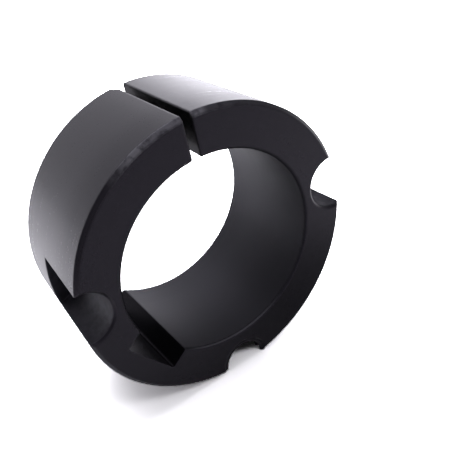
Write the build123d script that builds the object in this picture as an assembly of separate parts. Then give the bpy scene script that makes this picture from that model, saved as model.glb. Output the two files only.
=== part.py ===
"""Split taper bush for clamping a pulley or sprocket hub on a shaft.

One piece of grey cast iron: a ring turned with a shallow outer taper, bored for the shaft, with a
keyway in the bore, a saw cut right through the wall, and three half-holes in the taper. The hub
carries the other half of each hole. Two of the half-holes are plain and blind: the clamping screws
are threaded in the hub and push on their floors. The third is threaded and runs right through: a
screw in it pushes on the hub to free the bush.

Frame, in millimetres: the bore axis is +Z, the small end stands on z = 0, the large end faces up,
and the saw cut is towards -Y.
"""

import os
from math import cos, radians, sin, tan

from build123d import *

# Turned body
large_end_diameter = 57.15
length = 25.4
taper_included_angle = 8.0
large_end_chamfer = 0.7
small_end_chamfer = 0.4

# Bore and keyway
bore_diameter = 40.0
bore_chamfer = 0.4
key_width = 12.0
keyway_depth = 3.3  # from the bore to the keyway floor, along its middle
keyway_corner_radius = 0.5
keyway_angle = 36.5  # about +Z, from +X

# Saw cut
split_width = 1.7
split_edge_break = 0.2
split_angle = -90.0  # about +Z, from +X

# The one small-end corner beside the saw cut that is filed off
filed_height = 2.6  # up the taper
filed_width = 1.5  # round the rim
filed_depth = 0.8  # into the wall

# Half-holes in the taper
screw_hole_diameter = 10.5
screw_hole_web = 2.25  # metal left between a clamping screw hole and the bore
screw_hole_angle = 87.0  # each clamping screw hole, from the saw cut
screw_hole_depth = 15.4
screw_hole_chamfer = 0.5
jack_hole_diameter = 9.525  # over the thread, 3/8 inch
jack_hole_chamfer = 0.3

# Worked out from the sizes above
jack_hole_angle = split_angle + 180
large_end_radius = large_end_diameter / 2
bore_radius = bore_diameter / 2
screw_circle_radius = bore_radius + screw_hole_web + screw_hole_diameter / 2
taper_slope = tan(radians(taper_included_angle / 2))
clear = 1.0  # how far a cutting tool runs past the metal


def taper_radius(z):
    """Radius of the tapered surface at height z."""
    return large_end_radius - taper_slope * (length - large_end_chamfer - z)


def turned_body():
    """The ring as it leaves the lathe: tapered outside, bored, with its four edges chamfered."""
    small_end_radius = taper_radius(small_end_chamfer)
    with BuildPart() as body:
        with BuildSketch(Plane.XZ):
            with BuildLine():
                Polyline(
                    (bore_radius, bore_chamfer),
                    (bore_radius + bore_chamfer, 0),
                    (small_end_radius - small_end_chamfer, 0),
                    (small_end_radius, small_end_chamfer),
                    (large_end_radius, length - large_end_chamfer),
                    (large_end_radius - large_end_chamfer, length),
                    (bore_radius + bore_chamfer, length),
                    (bore_radius, length - bore_chamfer),
                    close=True,
                )
            make_face()
        revolve(axis=Axis.Z)
    return body.part


def keyway_broach():
    """The slot for the key, with the small radius of the broach in its two floor corners."""
    reach = bore_radius + keyway_depth
    with BuildPart() as broach:
        with BuildSketch(Plane.XY.offset(-clear)) as section:
            with Locations((reach / 2, 0)):
                Rectangle(reach, key_width)
            fillet(section.vertices().group_by(Axis.X)[-1], keyway_corner_radius)
        extrude(amount=length + 2 * clear)
    return broach.part.rotate(Axis.Z, keyway_angle)


def saw_blade():
    """The straight cut through one wall, as wide as the saw, towards +X."""
    reach = large_end_radius + clear
    with BuildPart() as blade:
        with Locations((0, 0, -clear)):
            Box(reach, split_width, length + 2 * clear, align=(Align.MIN, Align.CENTER, Align.MIN))
    return blade.part


def file_cut():
    """A flat that takes off the outer small-end corner on the +Y side of a saw cut towards +X."""
    wall = split_width / 2
    rim = taper_radius(0)
    turn = (wall + filed_width) / rim
    up_the_taper = Vector(taper_radius(filed_height), wall, filed_height)
    round_the_rim = Vector(rim * cos(turn), rim * sin(turn), 0)
    into_the_wall = Vector(rim - filed_depth, wall, 0)
    flat = Plane(
        origin=up_the_taper,
        z_dir=(into_the_wall - up_the_taper).cross(round_the_rim - up_the_taper),
    )
    reach = filed_height + filed_width
    waste = flat * Box(2 * reach, 2 * reach, reach, align=(Align.CENTER, Align.CENTER, Align.MIN))
    one_side = Box(large_end_diameter, reach, length, align=(Align.CENTER, Align.MIN, Align.CENTER))
    return waste & one_side


def sawn_body():
    """The turned ring with its saw cut, the edges of the cut broken and one corner filed."""
    body = turned_body() - saw_blade()
    walls = body.faces().filter_by(Plane.XZ)
    body = chamfer(walls.edges(), split_edge_break)
    body -= file_cut()
    return body.rotate(Axis.Z, split_angle)


def hole_cutter(angle, diameter, depth, chamfer_size):
    """A flat-ended drill on the screw circle, with the countersink for the large end."""
    radius = diameter / 2
    flare = chamfer_size + clear
    upright = (Align.CENTER, Align.CENTER, Align.MIN)
    with BuildPart() as cutter:
        with Locations((screw_circle_radius, 0, length - depth)):
            Cylinder(radius, depth + clear, align=upright)
        with Locations((screw_circle_radius, 0, length - chamfer_size)):
            Cone(radius, radius + flare, flare, align=upright)
    return cutter.part.rotate(Axis.Z, angle)


def taper_bush():
    """The finished bush as one solid."""
    bush = sawn_body() - keyway_broach()
    for side in (-1, 1):
        angle = split_angle + side * screw_hole_angle
        bush -= hole_cutter(angle, screw_hole_diameter, screw_hole_depth, screw_hole_chamfer)
    bush -= hole_cutter(jack_hole_angle, jack_hole_diameter, length + clear, jack_hole_chamfer)
    return bush


if __name__ == "__main__":
    os.makedirs("parts", exist_ok=True)
    export_step(taper_bush().solid(), "parts/taper_bush.step")
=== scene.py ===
"""Looks and studio for the split taper bush: one casting, turned, sawn, drilled and blackened."""
from math import asin, cos, pi, radians, sin

import bmesh
import bpy
from mathutils import Matrix, Quaternion, Vector


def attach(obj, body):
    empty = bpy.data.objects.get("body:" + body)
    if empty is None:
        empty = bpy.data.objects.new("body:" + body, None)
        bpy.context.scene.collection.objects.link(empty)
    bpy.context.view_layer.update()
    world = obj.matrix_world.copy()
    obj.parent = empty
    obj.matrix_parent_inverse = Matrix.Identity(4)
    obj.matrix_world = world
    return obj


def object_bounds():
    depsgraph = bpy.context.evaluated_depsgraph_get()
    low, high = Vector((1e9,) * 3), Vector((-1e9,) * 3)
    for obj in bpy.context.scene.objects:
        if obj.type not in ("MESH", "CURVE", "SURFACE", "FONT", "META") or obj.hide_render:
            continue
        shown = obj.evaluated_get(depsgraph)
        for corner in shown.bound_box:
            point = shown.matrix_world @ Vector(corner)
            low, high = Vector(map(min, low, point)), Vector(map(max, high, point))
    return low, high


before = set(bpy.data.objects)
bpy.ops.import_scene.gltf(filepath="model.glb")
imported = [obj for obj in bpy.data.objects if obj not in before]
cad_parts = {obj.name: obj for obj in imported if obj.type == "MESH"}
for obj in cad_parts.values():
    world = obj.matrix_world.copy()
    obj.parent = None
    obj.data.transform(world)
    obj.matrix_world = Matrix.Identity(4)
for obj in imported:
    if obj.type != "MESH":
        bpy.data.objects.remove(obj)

cad_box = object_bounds()

# The bush is one piece of grey cast iron, turned all over, then phosphated black and oiled.
# The tool marks still run round it under the black. The sharp edges are a little brighter,
# partly worn where it was handled, partly painted highlights.
mm = 0.001
length = cad_box[1].z
large_end_radius = 28.575 * mm
large_end_chamfer = 0.7 * mm
bore_radius = 20.0 * mm
bore_chamfer = 0.4 * mm
keyway_angle = radians(36.5)
key_width = 12.0 * mm
split_width = 1.7 * mm
split_angle = radians(-90)
screw_hole_radius = 5.25 * mm
screw_circle_radius = 27.5 * mm
screw_hole_angle = radians(87)
screw_hole_depth = 15.4 * mm


class Wire:
    """A shader node's output. Sums written with it add their Math nodes."""

    def __init__(self, tree, socket=None):
        self.tree = tree
        self.socket = socket

    def node(self, kind, settings=None, inputs=None, output=0):
        """Adds a node of that type: settings first, then a value or a wire for each input."""
        made = self.tree.nodes.new(kind)
        for name, value in (settings or {}).items():
            setattr(made, name, value)
        for name, value in (inputs or {}).items():
            if isinstance(value, Wire):
                self.tree.links.new(value.socket, made.inputs[name])
            else:
                made.inputs[name].default_value = value
        return Wire(self.tree, made.outputs[output]) if made.outputs else None

    def also(self, output):
        """Another output of the same node."""
        return Wire(self.tree, self.socket.node.outputs[output])

    def maths(self, operation, *values):
        return self.node("ShaderNodeMath", {"operation": operation}, dict(enumerate(values)))

    def smooth(self, low, high, to_low=0.0, to_high=1.0):
        """Goes smoothly from to_low to to_high as the value goes from low to high."""
        ends = {"From Min": low, "From Max": high, "To Min": to_low, "To Max": to_high}
        return self.node(
            "ShaderNodeMapRange", {"interpolation_type": "SMOOTHSTEP"}, {"Value": self, **ends}
        )

    def near(self, centre, reach):
        """1 where the value is at the centre, and 0 from reach away."""
        return self.maths("ABSOLUTE", self - centre).smooth(0.0, reach, 1.0, 0.0)

    def __add__(self, other):
        return self.maths("ADD", self, other)

    __radd__ = __add__

    def __sub__(self, other):
        return self.maths("SUBTRACT", self, other)

    def __rsub__(self, other):
        return self.maths("SUBTRACT", other, self)

    def __mul__(self, other):
        return self.maths("MULTIPLY", self, other)

    __rmul__ = __mul__

    def __pow__(self, other):
        return self.maths("POWER", self, other)


# The black itself, a blacker colour for the rough cuts that is painted shade, a grey for the dusty
# inside that is partly painted light, and bare iron for wear and painted highlights
iron_black = (0.0066, 0.0062, 0.0080)
iron_recess_shade = (0.005, 0.0048, 0.006)
iron_dust_and_painted_light = (0.034, 0.033, 0.040)
iron_rubbed_and_highlight = (0.26, 0.255, 0.28)


def blackened_iron():
    """Phosphated and oiled cast iron: satin black with a violet cast, finely grained."""
    material = bpy.data.materials.new("blackened_cast_iron")
    material.use_nodes = True
    material.node_tree.nodes.clear()
    iron = Wire(material.node_tree)
    placed = iron.node("ShaderNodeTexCoord", output="Object")
    in_mm = iron.node("ShaderNodeMapping", inputs={"Vector": placed, "Scale": (1000, 1000, 1000)})
    parts = iron.node("ShaderNodeSeparateXYZ", inputs={"Vector": in_mm})
    x, y, z = (parts.also(axis) for axis in "XYZ")
    radius = (x * x + y * y) ** 0.5
    angle = iron.maths("ARCTAN2", y, x)

    # Tool marks lie round the axis, so they change quickly along it and outwards only
    along_cut = iron.node(
        "ShaderNodeCombineXYZ", inputs={"X": x * 0.05, "Y": y * 0.05, "Z": z * 2.6 + radius * 2.3}
    )
    noise = "ShaderNodeTexNoise"
    marks = iron.node(noise, inputs={"Vector": along_cut, "Scale": 1.0, "Detail": 4.0})
    grain = iron.node(noise, inputs={"Vector": in_mm, "Scale": 3.4, "Detail": 4.0})
    blotch = iron.node(noise, inputs={"Vector": in_mm, "Scale": 0.7, "Detail": 4.0})
    cloud = iron.node(noise, inputs={"Vector": in_mm, "Scale": 0.16, "Detail": 3.0})

    # Where the rounded and the flat normal part, there is an edge
    rounded = iron.node("ShaderNodeBevel", {"samples": 6}, {"Radius": 0.5 * mm})
    straight = iron.node("ShaderNodeNewGeometry", output="Normal")
    alike = iron.node(
        "ShaderNodeVectorMath",
        {"operation": "DOT_PRODUCT"},
        {0: rounded, 1: straight},
        output="Value",
    )
    edge = (1 - alike).smooth(0.01, 0.16)

    # Where it was sawn, broached, drilled and bored. Each cut is found by its own sizes, in mm
    rim = large_end_radius / mm
    bore = bore_radius / mm
    top = length / mm
    half_split = split_width / mm / 2
    off_split = iron.maths("ABSOLUTE", x)
    sawn = off_split.smooth(half_split + 0.15, half_split - 0.05) * y.smooth(1.0 - bore, 0.5 - bore)
    across_key = x * -sin(keyway_angle) + y * cos(keyway_angle)
    along_key = x * cos(keyway_angle) + y * sin(keyway_angle)
    off_middle = iron.maths("ABSOLUTE", across_key)
    half_key = key_width / mm / 2
    key_reach = bore + 4.5
    broached = (
        off_middle.smooth(half_key + 0.12, half_key + 0.02)
        * along_key.smooth(bore - 1.0, bore - 0.8)
        * radius.smooth(bore + 0.05, bore + 0.2)
        * z.smooth(top - 0.01, top - 0.1)
        * radius.smooth(key_reach + 0.1, key_reach - 0.1)
    )
    key_walls = off_middle.smooth(half_key - 0.9, half_key - 0.5, 0.45, 1.0)
    rough_cut = iron.maths("MAXIMUM", sawn, broached * key_walls)
    hole_radius = screw_hole_radius / mm
    drilled = 0
    for hole_angle in (split_angle - screw_hole_angle, split_angle + screw_hole_angle):
        hole_x = screw_circle_radius / mm * cos(hole_angle)
        hole_y = screw_circle_radius / mm * sin(hole_angle)
        off_axis = ((x - hole_x) ** 2 + (y - hole_y) ** 2) ** 0.5
        drilled = drilled + off_axis.smooth(hole_radius + 0.15, hole_radius + 0.05)
    hole_end = (length - screw_hole_depth) / mm
    drilled = drilled * z.smooth(hole_end - 0.1, hole_end)
    bored = radius.smooth(bore + 0.3, bore + 0.1) * (1 - rough_cut)

    # The large end's chamfer is brighter on both sides of the saw cut, most at the right corner,
    # partly knocked and partly a painted highlight. The bore's own chamfer has a painted highlight
    # along one stretch
    chamfer_foot = top - large_end_chamfer / mm
    rim_inside = rim - large_end_chamfer / mm - 0.425
    at_rim = radius.smooth(rim_inside, rim_inside + 0.3)
    chamfer = z.smooth(chamfer_foot - 0.25, chamfer_foot) * at_rim
    left = angle.smooth(radians(-52), radians(-66)) * angle.smooth(radians(-90), radians(-89))
    nibbled = angle.near(radians(-68), radians(6))
    right = angle.smooth(radians(-128), radians(-98)) * angle.smooth(radians(-90), radians(-91))
    corner = angle.near(radians(-94), radians(5))
    knocks_and_highlight = left * 0.7 + nibbled * 0.5 + right * 0.2 + corner
    scuffs_and_highlight = chamfer * knocks_and_highlight * blotch.smooth(0.30, 0.60, 0.3, 1.0)
    bore_edge_foot = top - bore_chamfer / mm
    at_bore = radius.smooth(bore + 0.32, bore + 0.2)
    bore_edge = z.smooth(bore_edge_foot - 0.05, bore_edge_foot + 0.1) * at_bore
    # Painted highlight: a bright line along this stretch of the bore's chamfer
    bore_highlight_stretch = angle.smooth(radians(50), radians(70)) * angle.smooth(radians(125), radians(105))
    # All edges are a little brighter: partly wear, partly painted highlight
    edge_wear_and_highlight = edge * (grain * 0.5 + cloud * 0.5) * 0.2 * (1 - broached)
    rubbed_and_highlights = edge_wear_and_highlight + scuffs_and_highlight + bore_edge * bore_highlight_stretch * 0.5

    tone = cloud * 0.6 + grain * 0.3 + 0.55
    black = iron.node(
        "ShaderNodeVectorMath", {"operation": "SCALE"}, {0: iron_black, "Scale": tone}
    )
    # Drilled walls turn dusty grey, partly painted light; the bore is lifted evenly by painted
    # light
    dust_and_painted_light = drilled * blotch.smooth(0.30, 0.65, 0.35, 1.0) + bored * 0.25
    dusted_and_painted_light = iron.node(
        "ShaderNodeMix",
        {"data_type": "RGBA"},
        {"Factor": dust_and_painted_light, 6: black, 7: (*iron_dust_and_painted_light, 1)},
        output=2,
    )
    # Bare iron shows where it is worn and as painted highlights
    colour = iron.node(
        "ShaderNodeMix",
        {"data_type": "RGBA"},
        {"Factor": rubbed_and_highlights, 6: dusted_and_painted_light, 7: (*iron_rubbed_and_highlight, 1)},
        output=2,
    )
    # Painted shade: the saw cut and the keyway are coloured darker than the black
    colour = iron.node(
        "ShaderNodeMix",
        {"data_type": "RGBA"},
        {"Factor": rough_cut, 6: colour, 7: (*iron_recess_shade, 1)},
        output=2,
    )
    roughness = 0.23 + grain * 0.06 + marks * 0.06 + drilled * 0.25 + bored * 0.22 + scuffs_and_highlight * 0.15
    relief = marks * 0.6 + grain * 0.4
    bumped = iron.node(
        "ShaderNodeBump",
        inputs={"Height": relief, "Strength": 0.12, "Distance": 0.02 * mm, "Normal": rounded},
    )

    # Oil lies thick on the turned outside and thin inside. Painted shade mixes in a matt copy that
    # reflects nothing: in the rough cuts, towards the large end in the bore and the keyway, on the
    # bore's +X side, a little on the taper, and in the plain hole on the -X side
    painted_shade_bore = z.smooth(6.0, 24.0, 0.0, 0.4) + x.smooth(-8.0, 8.0, 0.0, 0.3)
    painted_shade_keyway = z.smooth(4.0, 18.0, 0.6, 0.85)
    painted_shade_hole = x.smooth(-10.0, 10.0, 0.72, 0.0)
    painted_shade_taper = z.smooth(14.0, 22.0, 0.0, 0.12) * z.smooth(25.1, 24.7) * radius.smooth(24.0, 25.0)
    painted_shade_cuts = sawn * 0.85 + broached * key_walls * painted_shade_keyway + drilled * painted_shade_hole
    painted_shade_mix = painted_shade_cuts + bored * painted_shade_bore + painted_shade_taper * (1 - drilled)
    skin = {"Base Color": colour, "Normal": bumped}
    thick_oil = {"Roughness": roughness, "IOR": 1.5, "Specular Tint": (0.44, 0.40, 0.50, 1)}
    thin_oil = {"Roughness": roughness, "IOR": 1.5, "Specular Tint": (0.60, 0.585, 0.69, 1)}
    matt_unlit = {"Roughness": 1.0, "Specular IOR Level": 0.0}
    oiled = iron.node("ShaderNodeBsdfPrincipled", inputs={**skin, **thick_oil})
    wiped = iron.node("ShaderNodeBsdfPrincipled", inputs={**skin, **thin_oil})
    shaded_matt = iron.node("ShaderNodeBsdfPrincipled", inputs={**skin, **matt_unlit})
    inside = iron.maths("MAXIMUM", bored, drilled)
    turned = iron.node("ShaderNodeMixShader", inputs={0: inside, 1: oiled, 2: wiped})
    surface = iron.node("ShaderNodeMixShader", inputs={0: painted_shade_mix, 1: turned, 2: shaded_matt})
    iron.node("ShaderNodeOutputMaterial", inputs={"Surface": surface})
    return material


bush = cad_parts["taper_bush"]
bush.data.materials[0] = blackened_iron()

# The half-hole opposite the saw cut is tapped right through for the jack screw.
# Its 3/8 inch, 16 to the inch thread is ridges left standing on the wall of the hole,
# cut off where the hole runs out of the taper.
taper = radians(4)
pitch = 25.4 / 16 * mm
jack_hole_radius = 9.525 / 2 * mm
crest_radius = 4.04 * mm
root_width = pitch * 7 / 8
crest_width = pitch / 4
sunk = 0.15 * mm
jack_hole_chamfer = 0.3 * mm
thread_short = 0.12 * mm
sliver = 0.001 * mm
steps_a_turn = 40
hole_centre = Vector((0, screw_circle_radius, 0))
turns = int(length / pitch) + 2

bm = bmesh.new()
slant = (root_width - crest_width) / 2 / (jack_hole_radius - crest_radius)
foot = root_width / 2 + slant * sunk
profile = [
    bm.verts.new((jack_hole_radius + sunk, 0, -foot)),
    bm.verts.new((crest_radius, 0, -crest_width / 2)),
    bm.verts.new((crest_radius, 0, crest_width / 2)),
    bm.verts.new((jack_hole_radius + sunk, 0, foot)),
]
ridge = [bm.edges.new((profile[i - 1], profile[i])) for i in range(4)]
bmesh.ops.spin(
    bm,
    geom=profile + ridge,
    axis=(0, 0, 1),
    cent=(0, 0, 0),
    dvec=(0, 0, pitch / steps_a_turn),
    angle=2 * pi * turns,
    steps=steps_a_turn * turns,
)
bmesh.ops.translate(bm, verts=bm.verts, vec=hole_centre - Vector((0, 0, pitch)))


def trim(bm, point, outwards):
    """Cuts off what lies beyond a plane and closes the cut."""
    everything = bm.verts[:] + bm.edges[:] + bm.faces[:]
    bmesh.ops.bisect_plane(
        bm, geom=everything, plane_co=point, plane_no=outwards, clear_outer=True, dist=sliver
    )
    bmesh.ops.holes_fill(bm, edges=[e for e in bm.edges if e.is_boundary], sides=0)


# The hole's two edges on the taper lie in one flat plane, on which the bush also rests
edge_angle = asin(jack_hole_radius / large_end_radius)
large_end_edge = Vector((0, large_end_radius * cos(edge_angle), length - large_end_chamfer))
away_from_bush = Vector((0, cos(taper), -sin(taper)))
trim(bm, large_end_edge - away_from_bush * thread_short, away_from_bush)
trim(bm, (0, 0, length - jack_hole_chamfer), (0, 0, 1))
trim(bm, (0, 0, jack_hole_chamfer), (0, 0, -1))
bmesh.ops.recalc_face_normals(bm, faces=bm.faces)
mesh = bpy.data.meshes.new("jack_thread")
bm.to_mesh(mesh)
bm.free()
thread = bpy.data.objects.new("jack_thread", mesh)
bpy.context.collection.objects.link(thread)
thread.data.materials.append(bush.data.materials[0])
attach(thread, "root")

# The floor is a plain white table, and the bush lies on it on its side, steadied by the two
# edges of the jack screw hole. It is one-sided, so that the bush can be seen from below too.
floor_gap = 0.02 * mm
floor_reach = 4.0
bm = bmesh.new()
bmesh.ops.create_grid(bm, x_segments=1, y_segments=1, size=floor_reach)
facing_bush = (-away_from_bush).to_track_quat("Z", "Y").to_matrix().to_4x4()
place = Matrix.Translation(large_end_edge + away_from_bush * floor_gap)
bmesh.ops.transform(bm, matrix=place @ facing_bush, verts=bm.verts)
mesh = bpy.data.meshes.new("floor")
bm.to_mesh(mesh)
bm.free()
floor = bpy.data.objects.new("floor", mesh)
bpy.context.collection.objects.link(floor)
material = bpy.data.materials.new("white_table")
material.use_nodes = True
material.node_tree.nodes.clear()
paint = Wire(material.node_tree)
ray = paint.node("ShaderNodeLightPath", output="Is Camera Ray")
to_eye = ray + ray.also("Is Transmission Ray")
matt = paint.node("ShaderNodeBsdfDiffuse", inputs={"Color": (0.3, 0.3, 0.3, 1)})

# In the metal it shows a painted reflection: paler far beyond the bush, and dimmed by a painted
# shadow near the bush on its -X side, before the large end
spot = paint.node("ShaderNodeTexCoord", output="Object")
far_away = paint.node("ShaderNodeSeparateXYZ", inputs={"Vector": spot}, output="Z")
painted_shadow_spot = Vector((-25, 28, 38)) * mm
off_painted_shadow = paint.node(
    "ShaderNodeVectorMath", {"operation": "DISTANCE"}, {0: spot, 1: painted_shadow_spot}, output="Value"
)
glow = far_away.smooth(5 * mm, -60 * mm, 1.9, 3.2) * off_painted_shadow.smooth(5 * mm, 35 * mm, 0.3, 1.0)
painted_reflection_colour = paint.node(
    "ShaderNodeVectorMath", {"operation": "SCALE"}, {0: (1.0, 1.0, 1.0), "Scale": glow}
)
painted_reflection = paint.node("ShaderNodeBsdfDiffuse", inputs={"Color": painted_reflection_colour})

# The eye sees it white up to the bush's shadow, and a painted shadow darkens it right under the
# jack screw hole
off_hole_shadow = paint.node(
    "ShaderNodeVectorMath",
    {"operation": "DISTANCE"},
    {0: spot, 1: Vector((-5, 28, 15)) * mm},
    output="Value",
)
seen_paint_with_painted_shadow = paint.node(
    "ShaderNodeVectorMath",
    {"operation": "SCALE"},
    {0: (6.8, 6.8, 6.6), "Scale": off_hole_shadow.smooth(7.2 * mm, 9.2 * mm, 0.12, 1.0)},
)
bright = paint.node("ShaderNodeBsdfDiffuse", inputs={"Color": seen_paint_with_painted_shadow})
shiny = ray.also("Is Glossy Ray")
glossed = paint.node("ShaderNodeMixShader", inputs={0: shiny, 1: matt, 2: painted_reflection})
lit = paint.node("ShaderNodeMixShader", inputs={0: to_eye, 1: glossed, 2: bright})
behind = paint.node("ShaderNodeNewGeometry", output="Backfacing")
clear = paint.node("ShaderNodeBsdfTransparent")
surface = paint.node("ShaderNodeMixShader", inputs={0: behind, 1: lit, 2: clear})
paint.node("ShaderNodeOutputMaterial", inputs={"Surface": surface})
floor.data.materials.append(material)

# The studio is white to the eye all round. The metal mirrors a white wall beyond the small end,
# a dim room on the large end's side, and a darker band between them. The low even light on
# matt surfaces is strongest from the wall's side.
brightest = Vector((-0.51, -0.14, -0.85)).normalized()
studio_light = (1.0, 0.985, 1.06)
world = bpy.data.worlds.new("studio")
world.use_nodes = True
world.node_tree.nodes.clear()
room = Wire(world.node_tree)
way = room.node("ShaderNodeTexCoord", output="Generated")
facing = room.node(
    "ShaderNodeVectorMath", {"operation": "DOT_PRODUCT"}, {0: way, 1: brightest}, output="Value"
)
upwards = room.node("ShaderNodeSeparateXYZ", inputs={"Vector": way}, output="Z")
white_wall = upwards.smooth(-0.60, -0.80, 0.0, 0.88)
dim_room = upwards.smooth(-0.50, 0.10, 0.0, 0.45)
mirrored = white_wall + dim_room + 0.12
ray = room.node("ShaderNodeLightPath", output="Is Camera Ray")
to_eye = ray + ray.also("Is Transmission Ray")
shiny = ray.also("Is Glossy Ray")
ambient = 0.07 + facing.smooth(0.0, 0.8, 0.0, 0.30)
strength = to_eye + shiny * mirrored + (1 - to_eye - shiny) * ambient
daylight = room.node(
    "ShaderNodeMix",
    {"data_type": "RGBA"},
    {"Factor": to_eye, 6: (*studio_light, 1), 7: (1, 1, 1, 1)},
    output=2,
)
sky = room.node("ShaderNodeBackground", inputs={"Color": daylight, "Strength": strength})
room.node("ShaderNodeOutputWorld", inputs={"Surface": sky})
bpy.context.scene.world = world


def softbox(name, place, towards, wide, high, strength):
    """A soft lamp panel that fades towards its edges; strength is how bright its middle looks."""
    lamp = bpy.data.lights.new(name, "AREA")
    lamp.shape = "RECTANGLE"
    lamp.size = wide
    lamp.size_y = high
    lamp.energy = strength * pi * wide * high
    lamp.color = studio_light
    lamp.use_nodes = True
    lamp.node_tree.nodes.clear()
    panel = Wire(lamp.node_tree)
    spot = panel.node("ShaderNodeNewGeometry", output="Parametric")
    parts = panel.node("ShaderNodeSeparateXYZ", inputs={"Vector": spot})
    glow = 1
    for axis in "XY":
        off_middle = panel.maths("ABSOLUTE", parts.also(axis) * 2 - 1)
        glow = glow * off_middle.smooth(0.1, 1.0, 1.0, 0.0)
    glowing = panel.node("ShaderNodeEmission", inputs={"Strength": glow})
    panel.node("ShaderNodeOutputLight", inputs={"Surface": glowing})
    stand = bpy.data.objects.new(name, lamp)
    stand.location = place
    stand.rotation_euler = (place - towards).to_track_quat("Z", "X").to_euler()
    stand.visible_camera = False
    bpy.context.collection.objects.link(stand)


def standing_off(azimuth, elevation, distance):
    flat = cos(radians(elevation)) * distance
    rise = sin(radians(elevation)) * distance
    return middle + Vector((cos(radians(azimuth)) * flat, sin(radians(azimuth)) * flat, rise))


# Four soft panels stand round the bush: a broad one over it and a small bright one before the
# large end, one by the white wall, and a weak one at its left.
middle = (cad_box[0] + cad_box[1]) / 2
softbox("overhead_lamp", standing_off(-100, -20, 0.45), middle, 0.7, 0.7, 2.2)
softbox("front_lamp", standing_off(-106, 40, 0.4), middle, 0.16, 0.16, 4)
softbox("wall_lamp", standing_off(-163, -44, 0.45), middle, 0.5, 0.5, 2.6)
softbox("left_lamp", standing_off(5, -48, 0.45), middle, 0.45, 0.45, 0.42)

# The camera looks down on the large end, rolled so that the small end lies away to the left.
view_azimuth = radians(30.67)
view_elevation = radians(46.47)
view_distance = 144.67 * mm
view_roll = radians(125.1)
large_end = Vector((0, 0, length))
aim = large_end + Vector((-2.87, -3.88, 0)) * mm
flat = cos(view_elevation)
stand_off = Vector((sin(view_azimuth) * flat, -cos(view_azimuth) * flat, sin(view_elevation)))
camera_data = bpy.data.cameras.new("camera")
camera_data.lens = 62.17
camera_data.sensor_width = 36.0
camera_data.clip_start = 1 * mm
camera = bpy.data.objects.new("camera", camera_data)
camera.location = large_end + stand_off * view_distance
look = (aim - camera.location).to_track_quat("-Z", "Y") @ Quaternion((0, 0, 1), view_roll)
camera.rotation_euler = look.to_euler()
bpy.context.collection.objects.link(camera)
bpy.context.scene.camera = camera
bpy.context.scene.view_settings.view_transform = "Standard"
